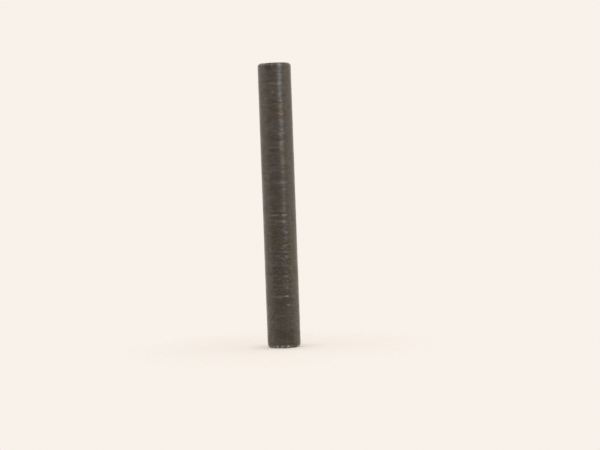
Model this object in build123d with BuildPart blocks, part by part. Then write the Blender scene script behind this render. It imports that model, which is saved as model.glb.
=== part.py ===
"""A plain chute pin: one solid piece of round steel bar, cut square and chamfered at both ends.

It stands on its foot, the lower end face, with its axis along +Z and the origin at the centre of that face.
Both ends are alike. Each has a flat face cut square to the axis, and a chamfer that leads the pin into its
hole. Tumbling has rounded both edges of each chamfer: the one with the shank and the one with the end face.
"""

import os
from math import radians, tan

from build123d import *

# Driving dimensions, in millimetres and degrees
PIN_DIAMETER = 3.95
PIN_LENGTH = 33.65
CHAMFER_LENGTH = 0.25
CHAMFER_ANGLE = 45.0
SHANK_EDGE_RADIUS = 0.14
FACE_EDGE_RADIUS = 0.10

# Radii of the shank and of the flat end face that the chamfer leaves, before tumbling
shank_radius = PIN_DIAMETER / 2
face_radius = shank_radius - CHAMFER_LENGTH * tan(radians(CHAMFER_ANGLE))

# The pin is turned: half of its section, from the axis out to the shank, goes once round the axis
with BuildPart() as chute_pin:
    with BuildSketch(Plane.XZ) as half_section:
        with BuildLine():
            Polyline(
                (0, 0),
                (face_radius, 0),
                (shank_radius, CHAMFER_LENGTH),
                (shank_radius, PIN_LENGTH - CHAMFER_LENGTH),
                (face_radius, PIN_LENGTH),
                (0, PIN_LENGTH),
                close=True,
            )
        make_face()
        shank_corners = half_section.vertices().group_by(Axis.X)[-1]
        fillet(shank_corners, SHANK_EDGE_RADIUS)
        face_corners = half_section.vertices().filter_by_position(Axis.X, face_radius, face_radius)
        fillet(face_corners, FACE_EDGE_RADIUS)
    revolve(axis=Axis.Z)

chute_pin.part.label = "chute_pin"

os.makedirs("parts", exist_ok=True)
export_step(chute_pin.part, "parts/chute_pin.step")
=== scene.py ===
"""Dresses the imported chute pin: a blackened steel bar that stands on a pale floor in soft studio light."""

import math

import bpy
import numpy as np
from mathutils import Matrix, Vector


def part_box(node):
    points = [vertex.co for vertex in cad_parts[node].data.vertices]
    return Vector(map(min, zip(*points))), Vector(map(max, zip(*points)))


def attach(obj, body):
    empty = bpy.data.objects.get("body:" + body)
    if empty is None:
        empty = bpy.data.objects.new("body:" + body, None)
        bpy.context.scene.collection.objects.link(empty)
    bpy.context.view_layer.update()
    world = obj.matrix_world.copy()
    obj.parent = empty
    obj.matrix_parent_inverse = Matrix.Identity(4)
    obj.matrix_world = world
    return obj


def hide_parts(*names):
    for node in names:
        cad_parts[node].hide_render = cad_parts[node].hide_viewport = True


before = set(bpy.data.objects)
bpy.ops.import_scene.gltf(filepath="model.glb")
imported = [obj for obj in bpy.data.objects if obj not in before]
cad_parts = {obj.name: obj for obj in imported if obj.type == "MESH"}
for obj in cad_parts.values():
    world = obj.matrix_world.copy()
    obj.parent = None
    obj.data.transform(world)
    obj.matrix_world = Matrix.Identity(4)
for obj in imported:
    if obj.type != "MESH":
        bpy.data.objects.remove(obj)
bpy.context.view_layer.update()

MM = 0.001
MICRON = 0.000001
FULL_TURN = 2 * math.pi

# Size of the pin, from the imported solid
low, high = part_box("chute_pin")
RADIUS = (high.x - low.x) / 2
LENGTH = high.z - low.z

# Form of the ends, as in the solid: a chamfer at 45 degrees, and its edges' radii at the shank and the face
CHAMFER = 0.25 * MM
SHANK_ROUND = 0.14 * MM
FACE_ROUND = 0.10 * MM
SLANT = CHAMFER * math.sqrt(2)
# How far from the corner a rounding starts, as a share of its radius
CORNER_SET = math.tan(math.radians(22.5))
# What is less deep than this belongs to an end face
FACE_DEPTH = 0.1 * FACE_ROUND

# Mesh of the pin: segments round it, and rows along the shank, each rounded edge, chamfer and end face
SEGMENTS = 200
SHANK_ROWS = 424
ARC_ROWS = 6
CONE_ROWS = 4
FACE_RINGS = 16

# Relief is worked out on an even grid that runs from one face's centre over the shank to the other's
GRID_STEP = 0.05 * MM
SEED = 20

# Unevenness that grinding leaves: fine rings, broad rings, waves along the pin and blotches, each with its
# rms height and its reach along and round the pin. Their sum stays within the limit
UNEVENNESS = (
    (2.2 * MICRON, 0.15 * MM, 0.80 * MM),
    (3.0 * MICRON, 0.32 * MM, 1.10 * MM),
    (2.0 * MICRON, 1.00 * MM, 0.45 * MM),
    (1.2 * MICRON, 0.14 * MM, 0.22 * MM),
)
UNEVEN_LIMIT = 10 * MICRON

# Scores that the photo shows: height in mm, turn from the front towards +X in degrees, reach round the pin
# in mm, and strength
SCORES = (
    (31.16, -9, 0.30, 0.9),
    (31.05, 13, 0.45, 0.7),
    (30.15, -6, 0.12, 1.4),
    (27.60, 20, 0.30, 0.6),
    (25.30, 19, 0.35, 1.2),
    (24.00, 19, 0.30, 0.7),
    (23.40, 19, 0.25, 0.7),
    (19.43, 14, 0.60, 0.7),
    (15.68, 20, 0.28, 1.9),
    (15.70, -11, 0.45, 0.9),
    (15.00, 6, 0.80, 0.8),
    (14.22, 20, 0.22, 0.8),
    (10.84, -11, 0.28, 0.9),
    (9.89, 8, 0.20, 0.7),
    (9.00, 17, 0.22, 0.7),
    (8.47, 20, 0.30, 0.8),
    (6.12, 18, 0.22, 2.1),
    (6.06, -4, 0.32, 1.2),
    (6.10, 5, 1.40, 0.5),
    (4.50, 21, 0.25, 0.6),
)
SCORE_WIDTH = 0.05 * MM
SCORE_DEPTH = 2.0 * MICRON
SCORE_WEAR = 0.30

# Finer scores all round: how many, and the least and most of each measure
FINE_SCORES = 150
FINE_SCORE_WIDTH = 0.045 * MM
FINE_SCORE_REACH_MM = (0.15, 1.6)
FINE_SCORE_DEPTH_MICRONS = (0.8, 3.0)
FINE_SCORE_WEAR = (0.0, 0.06)
FINE_SCORE_TILT = 0.015

# Dark patches that the photo shows, where the colour is darkened towards black: height, turn, reach round
# and along in mm, and strength
DARK_PATCHES = (
    (33.15, -22, 0.34, 0.50, 0.36),
    (25.55, 13, 0.22, 0.30, 0.25),
    (21.10, 24, 0.25, 0.30, 0.20),
    (18.85, -18, 0.30, 0.35, 0.18),
    (16.35, -11, 0.30, 0.30, 0.28),
    (13.05, -18, 0.30, 0.30, 0.18),
    (7.10, 28, 0.25, 0.30, 0.20),
    (1.20, 16, 0.85, 0.85, 0.26),
    (0.85, 28, 0.35, 0.35, 0.20),
)

# Dents and specks: how many, their reach round the pin, their depth and their width along the pin as shares
# of that reach, and the wear that each one picks from
DENTS = 160
DENT_REACH_MM = (0.07, 0.18)
DENT_DEPTH = (0.02, 0.045)
DENT_WIDTH = 0.8
DENT_WEAR = (0.0, 0.0, 0.1)

# Wear at each end: how far the shank's edge is rounded off, how much the chamfer and its rim are rubbed,
# how many nicks the edge has, and the spots that are rubbed most, as turn, reach round in mm, and strength
FOOT_WEAR = {
    "rounding": 30 * MICRON,
    "rubbed": 0.5,
    "rim_rubbed": 0.75,
    "nicks": 14,
    "spots": (
        (-48, 0.09, 0.6),
        (-22, 0.16, 0.9),
        (-4, 0.13, 0.9),
        (17, 0.11, 1.2),
        (63, 0.15, 0.7),
        (118, 0.12, 1.0),
        (171, 0.16, 0.8),
        (200, 0.10, 1.0),
        (241, 0.15, 0.9),
    ),
}
HEAD_WEAR = {
    "rounding": 0.0,
    "rubbed": 0.16,
    "rim_rubbed": 0.8,
    "nicks": 4,
    "spots": (
        (-44, 0.08, 0.3),
        (-20, 0.10, 0.35),
        (-6, 0.12, 0.4),
        (20, 0.26, 0.62),
        (150, 0.12, 0.4),
        (222, 0.10, 0.4),
    ),
}
# Unevenness of the rubbing: its mean, and for patches and finer grains their strength and their reach along
# and round the pin. The rim is rubbed more
RUB_MEAN = 0.4
RUB_PATCHES = (0.45, 0.20 * MM, 0.22 * MM)
RUB_GRAINS = (0.2, 0.06 * MM, 0.10 * MM)
RIM_RUB_MORE = 0.5
# Middle of the rubbed belt and of the spots, as a share of the slant from the shank's edge, and half widths
RUBBED_AT = 0.6
SPOTS_AT = 0.43
RUBBED_WIDTH = 0.17 * MM
SPOTS_WIDTH = 0.12 * MM
RIM_WIDTH = 0.06 * MM
ROUNDING_WIDTH = 0.11 * MM
# Nicks: width, and the least and most of each other measure
NICK_WIDTH = 0.06 * MM
NICK_REACH_MM = (0.05, 0.14)
NICK_DEPTH_MICRONS = (8, 22)
NICK_WEAR = (0, 0.4)

# Linear colours of the oxide, its tints, the black of its dark patches, the steel under it, and the floor
OXIDE_DARK = (0.063, 0.0566, 0.0447, 1.0)
OXIDE_LIGHT = (0.105, 0.099, 0.083, 1.0)
OXIDE_WARM = (1.06, 0.98, 0.966, 1.0)
OXIDE_COOL = (0.953, 1.0135, 1.0135, 1.0)
OXIDE_AMBER = (1.0, 0.992, 0.86, 1.0)
OXIDE_VIOLET = (1.01, 0.99, 1.13, 1.0)
DARK_PATCH_COLOUR = (0.0, 0.0, 0.0, 1.0)
SCORED_STEEL = (0.40, 0.375, 0.36, 1.0)
WORN_STEEL = (0.65, 0.605, 0.455, 1.0)
FLOOR_COLOUR = (0.95, 0.94, 0.94, 1.0)

# Textures of the oxide: features per mm round the pin and along it, then detail and roughness
TEXTURES = {
    "streaks": (1.3, 3.2, 1.0, 0.5),
    "dots": (3.0, 3.4, 1.0, 0.5),
    "rings": (0.45, 1.4, 1.5, 0.5),
    "vary": (0.4, 0.4, 1.0, 0.5),
    "grain": (7.0, 9.0, 2.0, 0.5),
    "mottle": (1.5, 2.6, 2.0, 0.6),
    "patches": (0.45, 0.45, 2.0, 0.5),
    "pits": (2.4, 3.4, 1.0, 0.5),
    "bluer": (0.6, 0.8, 2.0, 0.5),
}
# Changes along the pin: heights in mm at which one starts and ends, then its value at each, if it has one
DOTS_TO_STREAKS = (6.0, 18.0)
BLUER_UPWARDS = (0.0, 33.0, -0.04, 0.06)
RING_HEIGHT = (6.0, 20.0, 50.0, 34.0)
BUMP_FADE = (3.0, 22.0, 1.75, 0.58)
# Levels of a texture or of the wear between which it counts, then its value at each, if not 0 and 1
SHADE_LEVELS = (0.25, 0.75)
PIT_LEVELS = (0.36, 0.28)
TINT_LEVELS = (0.35, 0.65)
SPECK_LEVELS = (0.66, 0.74)
RUB_LEVELS = (0.30, 0.62, 0.45, 1.0)
STEEL_LEVELS = (0.3, 0.8)
VARY_LEVELS = (0.38, 0.62, 0.5, 1.4)
# Shares of two textures in the shade, darkness of the pits, and strength of the specks
MOTTLE_SHARE = 0.75
STREAK_SHARE = 0.25
PIT_DARKNESS = 0.5
SPECK_STRENGTH = 0.1
# Heights of the fine bumps in microns, the grain's on the shank and on the end faces
STREAK_HEIGHT = 36.0
GRAIN_HEIGHT = (2.0, 22.0)
# Roughness over the mottle, how much rougher rubbed steel and the end faces are, and the thin film of oil
OXIDE_ROUGHNESS = (0.3, 0.7, 0.377, 0.287)
RUBBED_ROUGHER = 0.45
FACE_ROUGHER = 0.2
OIL_WEIGHT = 0.43
OIL_ROUGHNESS = 0.41
OIL_IOR = 1.45

# Floor: a pale disc, nearly solid under the pin and ever clearer outwards, so that it runs into the
# background. It clears with the distance from the pin's axis in two smooth steps: from where, to where, and
# how clear at each. The clearer one counts
FLOOR_RADIUS = 24 * MM
FLOOR_EDGE = (2.0 * MM, 5.5 * MM, 0.1, 0.5)
FLOOR_FADE = (3.0 * MM, FLOOR_RADIUS, 0.2, 1.0)
FLOOR_DROP = 0.01 * MM
FLOOR_SIDES = 96

# Key lamp: turn from the front towards +X and height, in degrees
LAMP_TURN = 37.5
LAMP_HEIGHT = 15.1
LAMP_DISTANCE = 103 * MM
LAMP_SIZE = (35 * MM, 48 * MM)
LAMP_POWER = 0.0108
LAMP_COLOUR = (0.84, 0.915, 1.0)

# Studio: a bright pale wall behind the pin, and on the camera's side a dimmer room, dimmest above the
# table. Each range is of a direction's part along X, Y or Z, from where a change starts to where it ends
BACKGROUND = (0.945, 0.885, 0.822, 1.0)
WALL = (0.947, 0.867, 0.758, 1.0)
WALL_BACK = (0.865, 0.790, 0.690, 1.0)
ROOM_HIGH = (0.965, 0.863, 0.792, 1.0)
ROOM_LOW = (0.336, 0.301, 0.279, 1.0)
TABLE = (0.80, 0.735, 0.655, 1.0)
WALL_SKEW = 0.085
ROOM_TO_WALL = (-0.54, -0.155)
LOW_TO_HIGH = (-0.09, 0.095)
TABLE_TO_LOW = (-0.50, -0.24)
WALL_TO_BACK = (0.0, 0.7)
# The left is bluer and the right brighter, and both sides are brighter but for low down. The last two
# numbers of a gain are its values at the ends of its range, and the sides' range is of X squared
NO_TINT = (1.0, 1.0, 1.0, 1.0)
LEFT_TINT = (1.0, 1.0, 1.06, 1.0)
LEFT_RANGE = (-0.2, -0.7)
RIGHT_GAIN = (0.2, 0.9, 1.0, 1.15)
SIDE_GAIN = (0.1, 0.8, 0.0, 0.13)
SIDE_RISE = (-0.087, 0.0)

# Camera of the photograph: place, turn in degrees, focal length and sensor width in mm, and clipping
CAMERA_AT = (10.6449 * MM, -213.0173 * MM, 23.0104 * MM)
CAMERA_TURN = (87.6902, 2.0593, 2.1384)
CAMERA_LENS = 108.0
CAMERA_SENSOR = 36.0
CAMERA_CLIP = (5 * MM, 5.0)


def arc(centre, radius, first, last):
    """Points of an arc in the (r, z) half plane, angles in degrees from +r towards +z."""
    turns = np.radians(np.linspace(first, last, ARC_ROWS + 1))
    return [(centre[0] + radius * math.cos(t), centre[1] + radius * math.sin(t)) for t in turns]


def end_profile():
    """Half section of one end as (r, depth), from beside the face's centre to the start of the shank."""
    face_radius = RADIUS - CHAMFER
    face_set = FACE_ROUND * CORNER_SET
    shank_set = SHANK_ROUND * CORNER_SET
    rings = np.linspace(0, face_radius - face_set, FACE_RINGS + 1)
    face = [(r, 0.0) for r in rings[1:-1]]
    inner = arc((face_radius - face_set, FACE_ROUND), FACE_ROUND, -90, -45)
    outer = arc((RADIUS - SHANK_ROUND, CHAMFER + shank_set), SHANK_ROUND, -45, 0)
    steps = np.linspace(0, 1, CONE_ROWS + 1)[1:-1, None]
    cone = np.array(inner[-1]) * (1 - steps) + np.array(outer[0]) * steps
    return face + inner + [tuple(p) for p in cone] + outer


def pin_profile():
    """Half section of the whole pin, from one face's centre over the shank to the other's.

    Returns its (r, z) rows, each row's outward direction and distance along the section, the section's
    whole length, and the distances at which the shank's edges at the foot and at the head lie.
    """
    end = end_profile()
    start = end[-1][1]
    shank = [(RADIUS, z) for z in np.linspace(start, LENGTH - start, SHANK_ROWS + 1)[1:-1]]
    rows = np.array(end + shank + [(r, LENGTH - d) for r, d in reversed(end)])
    path = np.vstack([(0, 0), rows, (0, LENGTH)])
    steps = np.linalg.norm(np.diff(path, axis=0), axis=1)
    along = np.cumsum(steps)[:-1]
    tangent = path[2:] - path[:-2]
    tangent /= np.linalg.norm(tangent, axis=1)[:, None]
    outward = np.stack([tangent[:, 1], -tangent[:, 0]], 1)
    return rows, outward, along, steps.sum(), (along[len(end) - 1], along[-len(end)])


def smooth_noise(rng, shape, axial, around):
    """Random field with rms 1, smoothed over lengths along and round the pin, and closed round it."""
    grain = rng.standard_normal(shape)
    along_wave = np.fft.fftfreq(shape[0], GRID_STEP)[:, None] * axial
    round_wave = np.fft.rfftfreq(shape[1], FULL_TURN * RADIUS / shape[1])[None] * around
    low_pass = np.exp(-2 * math.pi ** 2 * (along_wave ** 2 + round_wave ** 2))
    field = np.fft.irfft2(np.fft.rfft2(grain) * low_pass, s=shape)
    return field / field.std()


def bell(distance, width, power=2):
    """Bell curve: 1 at no distance, 0.6 at the width, and steeper there the higher the power."""
    return np.exp(-0.5 * np.abs(distance / width) ** power)


def facing(turn):
    """Angle round the axis in radians of a turn from the front towards +X in degrees."""
    return math.radians(turn - 90)


def at_height(foot_edge, z):
    """Distance along the section of a height on the shank in mm."""
    return foot_edge + z * MM - CHAMFER


class Relief:
    """Depth of the surface below its true form, and its wear and dark patches from 0 to 1, on the even grid.
    """

    def __init__(self, total):
        self.rng = np.random.default_rng(SEED)
        self.along = np.arange(0, total + GRID_STEP, GRID_STEP)
        self.angle = np.arange(SEGMENTS) * FULL_TURN / SEGMENTS
        self.shape = (len(self.along), SEGMENTS)
        self.depth = np.zeros(self.shape)
        self.worn = np.zeros(self.shape)
        self.darkened = np.zeros(self.shape)

    def noise(self, axial, around):
        return smooth_noise(self.rng, self.shape, axial, around)

    def offsets(self, along, angle):
        """How far each grid point lies from a point, along the pin and round it, in metres."""
        gap = (self.angle - angle + math.pi) % FULL_TURN - math.pi
        return self.along[:, None] - along, gap[None] * RADIUS

    def mark(self, along, angle, long, wide, depth, worn, tilt=0.0):
        """One soft mark: long is its reach round the pin and wide its reach along it, both in metres."""
        rise, gap = self.offsets(along, angle)
        near = bell(rise - tilt * gap, wide) * bell(gap, long, 4)
        self.depth += depth * near
        self.worn = np.maximum(self.worn, worn * near)

    def darken_patch(self, along, angle, long, wide, strength):
        """One soft dark patch, where the colour is darkened, with the same reaches as a mark."""
        rise, gap = self.offsets(along, angle)
        near = bell(rise, wide, 3) * bell(gap, long, 3)
        self.darkened = 1 - (1 - self.darkened) * (1 - strength * near)

    def rub(self, strength, near):
        """Wear of a belt round the pin, for nearness to its middle from 0 to 1."""
        self.worn = np.maximum(self.worn, np.clip(strength, 0, 1) * near)


def add_rings(relief):
    """Fine rings that the grinding leaves round the shank and across the faces, and a slight waviness."""
    height = sum(rms * relief.noise(axial, around) for rms, axial, around in UNEVENNESS)
    relief.depth += UNEVEN_LIMIT * (1 - np.tanh(height / UNEVEN_LIMIT))


def add_scores(relief, foot_edge, head_edge):
    """Scores across the shank: those that the photo shows, and finer ones all round."""
    rng = relief.rng
    for z, turn, reach, strength in SCORES:
        at = at_height(foot_edge, z)
        depth = SCORE_DEPTH * strength
        relief.mark(at, facing(turn), reach * MM, SCORE_WIDTH, depth, SCORE_WEAR * strength)
    for _ in range(FINE_SCORES):
        at = rng.uniform(foot_edge, head_edge)
        reach = rng.uniform(*FINE_SCORE_REACH_MM) * MM
        depth = rng.uniform(*FINE_SCORE_DEPTH_MICRONS) * MICRON
        tilt = rng.normal(0, FINE_SCORE_TILT)
        angle = rng.uniform(0, FULL_TURN)
        relief.mark(at, angle, reach, FINE_SCORE_WIDTH, depth, rng.uniform(*FINE_SCORE_WEAR), tilt)


def add_dark_patches(relief, foot_edge):
    """Darker patches that the photo shows, where the colour is darkened."""
    for z, turn, reach, wide, strength in DARK_PATCHES:
        relief.darken_patch(at_height(foot_edge, z), facing(turn), reach * MM, wide * MM, strength)


def add_dents(relief, foot_edge, head_edge):
    """Shallow dents and specks from handling."""
    rng = relief.rng
    for _ in range(DENTS):
        reach = rng.uniform(*DENT_REACH_MM) * MM
        depth = reach * rng.uniform(*DENT_DEPTH)
        at = rng.uniform(foot_edge, head_edge)
        angle = rng.uniform(0, FULL_TURN)
        relief.mark(at, angle, reach, reach * DENT_WIDTH, depth, rng.choice(DENT_WEAR))


def wear_end(relief, patches, edge, inwards, rounding, rubbed, rim_rubbed, nicks, spots):
    """Wear of one end. From the shank's edge its chamfer runs down the grid, inwards -1, or up it, 1."""
    rng = relief.rng
    slant = inwards * SLANT
    past_edge = (relief.along - edge)[:, None]
    relief.depth += rounding * bell(past_edge, ROUNDING_WIDTH)
    relief.rub(rubbed * patches, bell(past_edge - slant * RUBBED_AT, RUBBED_WIDTH, 4))
    relief.rub(rim_rubbed * (RIM_RUB_MORE + patches), bell(past_edge - slant, RIM_WIDTH))
    for _ in range(nicks):
        angle = rng.uniform(0, FULL_TURN)
        reach = rng.uniform(*NICK_REACH_MM) * MM
        depth = rng.uniform(*NICK_DEPTH_MICRONS) * MICRON
        relief.mark(edge, angle, reach, NICK_WIDTH, depth, rng.uniform(*NICK_WEAR))
    for turn, reach, strength in spots:
        relief.mark(edge + slant * SPOTS_AT, facing(turn), reach * MM, SPOTS_WIDTH, 0.0, strength)


def add_edge_wear(relief, foot_edge, head_edge):
    """Chamfers rubbed down to steel in patches, their rims rubbed light, and nicks beside them."""
    patches = RUB_MEAN
    for strength, axial, around in (RUB_PATCHES, RUB_GRAINS):
        patches = patches + strength * relief.noise(axial, around)
    wear_end(relief, patches, foot_edge, -1, **FOOT_WEAR)
    wear_end(relief, patches, head_edge, 1, **HEAD_WEAR)


def at_rows(field, along):
    """Values of a field of the grid at places along the pin, from the grid rows on both sides of each."""
    place = along / GRID_STEP
    below = place.astype(int)
    share = (place - below)[:, None]
    return field[below] * (1 - share) + field[below + 1] * share


def lathe_faces(row_count):
    """Faces between rows of points, and a fan round the first point and the last one."""
    this = np.arange(SEGMENTS)
    following = (this + 1) % SEGMENTS
    last = row_count * SEGMENTS + 1
    faces = [(0, 1 + n, 1 + k) for k, n in zip(this, following)]
    faces += [(last, last - SEGMENTS + k, last - SEGMENTS + n) for k, n in zip(this, following)]
    for row in range(row_count - 1):
        a, b = 1 + row * SEGMENTS, 1 + (row + 1) * SEGMENTS
        faces += [(a + k, a + n, b + n, b + k) for k, n in zip(this, following)]
    return faces


def add_layer(mesh, name, values, first, last):
    """Attribute that the material reads: values for the rows, and for the first point and the last one."""
    values = np.broadcast_to(values.reshape(len(values), -1), (len(values), SEGMENTS))
    layer = mesh.attributes.new(name, "FLOAT", "POINT")
    layer.data.foreach_set("value", np.concatenate([[first], values.ravel(), [last]]).astype(np.float32))


def build_pin():
    """Lathe mesh of the pin with its relief pressed inward, and the attributes that its material reads."""
    rows, outward, along, total, edges = pin_profile()
    relief = Relief(total)
    add_rings(relief)
    add_scores(relief, *edges)
    add_dark_patches(relief, edges[0])
    add_dents(relief, *edges)
    add_edge_wear(relief, *edges)

    depth = at_rows(relief.depth, along) * np.minimum(1, rows[:, :1] / RADIUS)
    radius = rows[:, :1] - outward[:, :1] * depth
    height = rows[:, 1:] - outward[:, 1:] * depth
    turns = relief.angle[None]
    points = np.stack([radius * np.cos(turns), radius * np.sin(turns), height], 2).reshape(-1, 3)
    verts = np.vstack([(0, 0, 0), points, (0, 0, LENGTH)])
    mesh = bpy.data.meshes.new("blackened_pin")
    mesh.from_pydata(verts.tolist(), [], lathe_faces(len(rows)))
    mesh.shade_smooth()

    faced = np.minimum(rows[:, 1], LENGTH - rows[:, 1]) < FACE_DEPTH
    add_layer(mesh, "worn", at_rows(relief.worn, along), 0, 0)
    # How much the colour is darkened towards black in the dark patches
    add_layer(mesh, "darkened", at_rows(relief.darkened, along), 0, 0)
    add_layer(mesh, "along", along, 0, total)
    add_layer(mesh, "faced", faced, 1, 1)
    pin = bpy.data.objects.new("blackened_pin", mesh)
    bpy.context.scene.collection.objects.link(pin)
    return pin


class NodeTree:
    """Short calls for building a node tree."""

    def __init__(self, tree):
        self.tree = tree
        tree.nodes.clear()

    def add(self, kind, inputs=None, **settings):
        """New node with its settings. Each input is a value, or a socket that is linked to it."""
        node = self.tree.nodes.new(kind)
        for name, value in settings.items():
            setattr(node, name, value)
        for name, value in (inputs or {}).items():
            if isinstance(value, bpy.types.NodeSocket):
                self.tree.links.new(value, node.inputs[name])
            else:
                node.inputs[name].default_value = value
        return node

    def noise(self, vector, detail, roughness):
        inputs = {"Vector": vector, "Scale": 1.0, "Detail": detail, "Roughness": roughness}
        return self.add("ShaderNodeTexNoise", inputs).outputs["Fac"]

    def attribute(self, name):
        return self.add("ShaderNodeAttribute", attribute_name=name).outputs["Fac"]

    def math(self, operation, first, second):
        return self.add("ShaderNodeMath", {0: first, 1: second}, operation=operation).outputs[0]

    def spread(self, value, low, high, to_low=0.0, to_high=1.0, smooth=False):
        """Value carried from the first range to the second, and held at the ends of that."""
        inputs = {"Value": value, "From Min": low, "From Max": high, "To Min": to_low, "To Max": to_high}
        kind = "SMOOTHSTEP" if smooth else "LINEAR"
        return self.add("ShaderNodeMapRange", inputs, interpolation_type=kind).outputs["Result"]

    def blend(self, share, first, second, kind="MIX"):
        """Colour between two, or their product for the kind MULTIPLY and a share of 1."""
        inputs = {0: share, 6: first, 7: second}
        return self.add("ShaderNodeMix", inputs, data_type="RGBA", blend_type=kind).outputs[2]


def oxide_textures(tree, x, y, along):
    """Noise textures by name. They stretch along the surface, so that they run on over the end faces."""
    textures = {}
    for name, (per_mm_round, per_mm_along, detail, roughness) in TEXTURES.items():
        place = tree.add("ShaderNodeCombineXYZ", {
            0: tree.math("MULTIPLY", x, per_mm_round),
            1: tree.math("MULTIPLY", y, per_mm_round),
            2: tree.math("MULTIPLY", along, per_mm_along),
        }).outputs[0]
        textures[name] = tree.noise(place, detail, roughness)
    return textures


def oxide_colour(tree, textures, z):
    """Mottled dark grey with darker pits, warmer and cooler, and more amber or violet, in patches."""
    mottle = tree.math("MULTIPLY", textures["mottle"], MOTTLE_SHARE)
    shade = tree.math("ADD", mottle, tree.math("MULTIPLY", textures["streaks"], STREAK_SHARE))
    shade = tree.spread(shade, *SHADE_LEVELS)
    pits = tree.math("MULTIPLY", tree.spread(textures["pits"], *PIT_LEVELS), PIT_DARKNESS)
    shade = tree.math("MULTIPLY", shade, tree.math("SUBTRACT", 1.0, pits))
    oxide = tree.blend(shade, OXIDE_DARK, OXIDE_LIGHT)
    tint = tree.blend(tree.spread(textures["patches"], *TINT_LEVELS), OXIDE_WARM, OXIDE_COOL)
    oxide = tree.blend(1.0, oxide, tint, "MULTIPLY")
    bluer = tree.math("ADD", textures["bluer"], tree.spread(z, *BLUER_UPWARDS))
    tint = tree.blend(tree.spread(bluer, *TINT_LEVELS), OXIDE_AMBER, OXIDE_VIOLET)
    return tree.blend(1.0, oxide, tint, "MULTIPLY")


def bump_height(tree, textures, z, faced):
    """Height in microns of the streaks and rings, stronger towards the foot, and of the grain."""
    streaks = tree.math("MULTIPLY", textures["streaks"], STREAK_HEIGHT)
    rings = tree.math("MULTIPLY", textures["rings"], tree.spread(z, *RING_HEIGHT))
    height = tree.math("ADD", streaks, rings)
    height = tree.math("MULTIPLY", height, tree.spread(z, *BUMP_FADE))
    height = tree.math("MULTIPLY", height, tree.spread(textures["vary"], *VARY_LEVELS))
    grain = tree.math("MULTIPLY", textures["grain"], tree.spread(faced, 0.0, 1.0, *GRAIN_HEIGHT))
    return tree.math("ADD", height, grain)


def black_oxide():
    """Black oxide over fine rings, darkened in patches and rubbed to steel at the edges and scores."""
    mat = bpy.data.materials.new("blackened_steel")
    mat.use_nodes = True
    tree = NodeTree(mat.node_tree)
    where = tree.add("ShaderNodeTexCoord").outputs["Object"]
    in_mm = tree.add("ShaderNodeVectorMath", {0: where, 1: (1 / MM,) * 3}, operation="MULTIPLY").outputs[0]
    x, y, z = tree.add("ShaderNodeSeparateXYZ", {0: in_mm}).outputs
    along = tree.math("MULTIPLY", tree.attribute("along"), 1 / MM)
    worn = tree.attribute("worn")
    faced = tree.attribute("faced")
    textures = oxide_textures(tree, x, y, along)
    textures["streaks"] = tree.spread(z, *DOTS_TO_STREAKS, textures["dots"], textures["streaks"])

    # The oxide's colour is darkened towards black in the dark patches
    oxide = tree.blend(tree.attribute("darkened"), oxide_colour(tree, textures, z), DARK_PATCH_COLOUR)
    specks = tree.math("MULTIPLY", tree.spread(textures["grain"], *SPECK_LEVELS), SPECK_STRENGTH)
    rubbed = tree.math("MULTIPLY", worn, tree.spread(textures["grain"], *RUB_LEVELS))
    rub = tree.math("MAXIMUM", specks, rubbed)
    steel = tree.blend(tree.spread(worn, *STEEL_LEVELS), SCORED_STEEL, WORN_STEEL)

    rough = tree.spread(textures["mottle"], *OXIDE_ROUGHNESS)
    rough = tree.math("ADD", rough, tree.math("MULTIPLY", rub, RUBBED_ROUGHER))
    rough = tree.math("ADD", rough, tree.math("MULTIPLY", faced, FACE_ROUGHER))
    height = bump_height(tree, textures, z, faced)
    bump = tree.add("ShaderNodeBump", {"Height": height, "Distance": MICRON, "Strength": 1.0})
    bsdf = tree.add("ShaderNodeBsdfPrincipled", {
        "Base Color": tree.blend(rub, oxide, steel),
        "Metallic": 1.0,
        "Roughness": rough,
        "Normal": bump.outputs["Normal"],
        "Coat Weight": OIL_WEIGHT,
        "Coat Roughness": OIL_ROUGHNESS,
        "Coat IOR": OIL_IOR,
        "Coat Normal": bump.outputs["Normal"],
    })
    tree.add("ShaderNodeOutputMaterial", {"Surface": bsdf.outputs[0]})
    return mat


def build_floor():
    """Pale disc just under the pin, ever clearer from its middle to its edge."""
    turns = np.linspace(0, FULL_TURN, FLOOR_SIDES, endpoint=False)
    verts = [(FLOOR_RADIUS * math.cos(t), FLOOR_RADIUS * math.sin(t), 0) for t in turns]
    mesh = bpy.data.meshes.new("floor")
    mesh.from_pydata(verts, [], [tuple(range(FLOOR_SIDES))])
    floor = bpy.data.objects.new("floor", mesh)
    floor.location.z = -FLOOR_DROP
    bpy.context.scene.collection.objects.link(floor)
    mat = bpy.data.materials.new("pale_floor")
    mat.use_nodes = True
    tree = NodeTree(mat.node_tree)
    where = tree.add("ShaderNodeTexCoord").outputs["Object"]
    reach = tree.add("ShaderNodeVectorMath", {0: where}, operation="LENGTH").outputs["Value"]
    near = tree.spread(reach, *FLOOR_EDGE, smooth=True)
    far = tree.spread(reach, *FLOOR_FADE, smooth=True)
    solid = tree.add("ShaderNodeBsdfDiffuse", {"Color": FLOOR_COLOUR}).outputs[0]
    clear = tree.add("ShaderNodeBsdfTransparent").outputs[0]
    fade = tree.math("MAXIMUM", near, far)
    mix = tree.add("ShaderNodeMixShader", {0: fade, 1: solid, 2: clear}).outputs[0]
    tree.add("ShaderNodeOutputMaterial", {"Surface": mix})
    floor.data.materials.append(mat)


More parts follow.
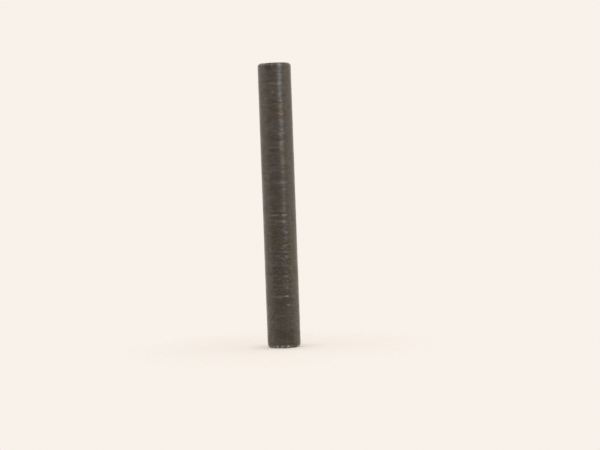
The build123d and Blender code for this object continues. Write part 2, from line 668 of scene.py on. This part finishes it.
def add_lamp():
    """Key lamp: a rectangle that faces the pin's middle."""
    turn = math.radians(LAMP_TURN)
    rise = math.radians(LAMP_HEIGHT)
    away = Vector((math.sin(turn) * math.cos(rise), -math.cos(turn) * math.cos(rise), math.sin(rise)))
    lamp = bpy.data.lights.new("key", "AREA")
    lamp.shape = "RECTANGLE"
    lamp.size, lamp.size_y = LAMP_SIZE
    lamp.energy = LAMP_POWER
    lamp.color = LAMP_COLOUR
    key = bpy.data.objects.new("key", lamp)
    key.location = Vector((0, 0, LENGTH / 2)) + away * LAMP_DISTANCE
    key.rotation_euler = away.to_track_quat("Z", "Y").to_euler()
    key.visible_camera = False
    bpy.context.scene.collection.objects.link(key)


def studio_colour(tree, x, y, z, behind):
    """Colour of the studio by direction: room and table on the camera's side, wall behind the pin."""
    room = tree.blend(tree.spread(z, *LOW_TO_HIGH, smooth=True), ROOM_LOW, ROOM_HIGH)
    room = tree.blend(tree.spread(z, *TABLE_TO_LOW, smooth=True), TABLE, room)
    depth = tree.math("SUBTRACT", y, tree.math("MULTIPLY", x, WALL_SKEW))
    depth = tree.spread(depth, *ROOM_TO_WALL, smooth=True)
    colour = tree.blend(depth, room, tree.blend(behind, WALL, WALL_BACK))
    tint = tree.blend(tree.spread(x, *LEFT_RANGE), NO_TINT, LEFT_TINT)
    return tree.blend(1.0, colour, tint, "MULTIPLY")


def light_studio():
    """World that lights the pin. The camera sees it plain, and so does the metal behind the pin."""
    world = bpy.data.worlds.new("studio")
    bpy.context.scene.world = world
    world.use_nodes = True
    tree = NodeTree(world.node_tree)
    where = tree.add("ShaderNodeTexCoord").outputs["Generated"]
    x, y, z = tree.add("ShaderNodeSeparateXYZ", {0: where}).outputs
    behind = tree.spread(y, *WALL_TO_BACK, smooth=True)
    side = tree.spread(tree.math("MULTIPLY", x, x), *SIDE_GAIN)
    side = tree.math("MULTIPLY", side, tree.spread(z, *SIDE_RISE, smooth=True))
    gain = tree.math("ADD", tree.spread(x, *RIGHT_GAIN, smooth=True), side)
    colour = studio_colour(tree, x, y, z, behind)
    lit = tree.add("ShaderNodeBackground", {"Color": colour, "Strength": gain}).outputs[0]
    seen = tree.add("ShaderNodeBackground", {"Color": BACKGROUND}).outputs[0]
    path = tree.add("ShaderNodeLightPath").outputs
    mirrored = tree.math("MAXIMUM", path["Is Glossy Ray"], path["Is Transmission Ray"])
    shown = tree.math("MAXIMUM", path["Is Camera Ray"], tree.math("MULTIPLY", mirrored, behind))
    mix = tree.add("ShaderNodeMixShader", {0: shown, 1: lit, 2: seen}).outputs[0]
    tree.add("ShaderNodeOutputWorld", {"Surface": mix})


def add_camera():
    """Camera that sees the standing pin as the photograph does."""
    camera = bpy.data.objects.new("camera", bpy.data.cameras.new("camera"))
    camera.data.sensor_width = CAMERA_SENSOR
    camera.data.sensor_fit = "HORIZONTAL"
    camera.data.lens = CAMERA_LENS
    camera.data.clip_start, camera.data.clip_end = CAMERA_CLIP
    camera.location = CAMERA_AT
    camera.rotation_euler = [math.radians(a) for a in CAMERA_TURN]
    bpy.context.scene.collection.objects.link(camera)
    bpy.context.scene.camera = camera


pin = build_pin()
pin.data.materials.append(black_oxide())
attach(pin, "root")
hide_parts("chute_pin")

build_floor()
add_lamp()
light_studio()
add_camera()
bpy.context.scene.view_settings.view_transform = "Standard"
